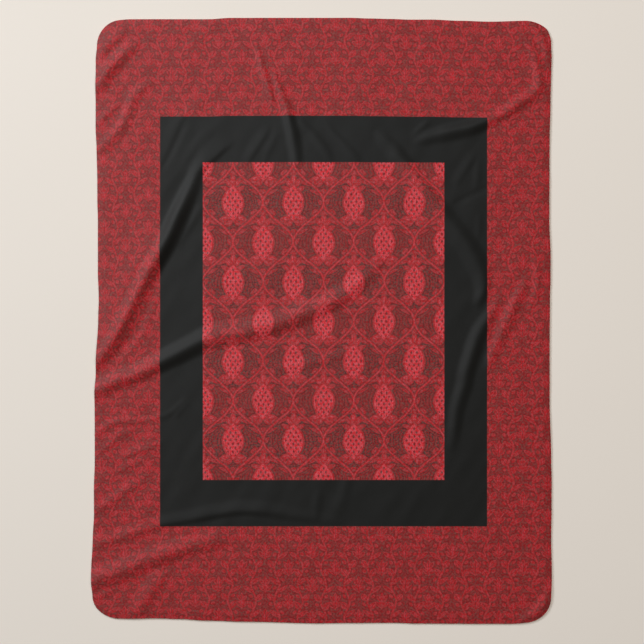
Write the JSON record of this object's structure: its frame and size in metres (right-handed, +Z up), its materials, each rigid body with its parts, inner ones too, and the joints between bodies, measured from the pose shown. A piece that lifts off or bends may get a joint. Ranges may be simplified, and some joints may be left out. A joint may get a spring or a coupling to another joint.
{
  "type": "sherpa blanket",
  "caption": "Rounded-corner sherpa blanket laid flat and face up, with a red printed fleece face, a plain black frame band and soft uneven folds.",
  "frame": {"origin": "under the middle of the blanket's outline, on the surface it lies on", "axes": "+X across the blanket to the right as seen from above, +Y along it to the head end, +Z up out of the printed face"},
  "size_m": [1.545, 2.032, 0.0265],
  "materials": {
    "printed_fleece": "soft napped polyester fleece, matt with a slight sheen, printed in reds with a black frame band"
  },
  "bodies": {
    "root": {"blanket": "printed_fleece"}
  },
  "joints": []
}
